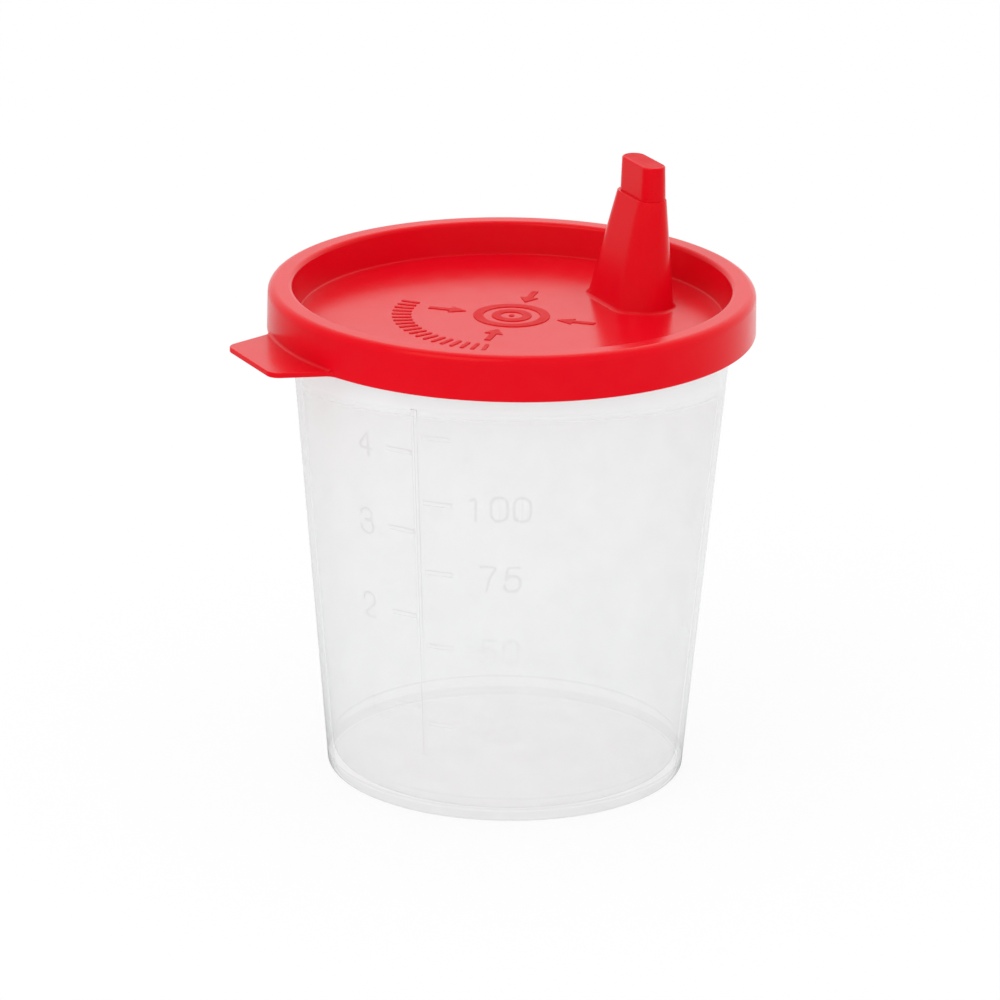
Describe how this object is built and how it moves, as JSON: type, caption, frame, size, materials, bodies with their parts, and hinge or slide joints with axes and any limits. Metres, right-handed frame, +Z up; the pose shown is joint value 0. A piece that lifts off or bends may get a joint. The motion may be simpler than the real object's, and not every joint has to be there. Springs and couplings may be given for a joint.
{
  "type": "urine cup",
  "caption": "Tapered translucent specimen cup with a graduated wall and a red snap lid that has a pull tab, a flat oval pouring spout and a snap-off tip.",
  "frame": {"origin": "centre of the cup's flat base, where it rests", "axes": "+Z up along the cup's axis; +X towards the spout, so the pull tab points along -X; +Y by the right-hand rule"},
  "size_m": [0.0745, 0.068, 0.0856],
  "materials": {
    "cup": "translucent natural polypropylene, satin",
    "lid": "glossy red polyethylene",
    "tip": "glossy red polyethylene"
  },
  "bodies": {
    "cup": {"cup": "cup"},
    "lid": {"lid": "lid"},
    "snap_off_tip": {"snap_off_tip": "tip"}
  },
  "joints": [
    {"name": "lid_lift", "type": "slide", "parent": "cup", "child": "lid", "axis": [0, 0, 1], "range_m": [0, 0.04]},
    {"name": "tip_pull", "type": "slide", "parent": "lid", "child": "snap_off_tip", "axis": [0, 0, 1], "range_m": [0, 0.03]}
  ]
}
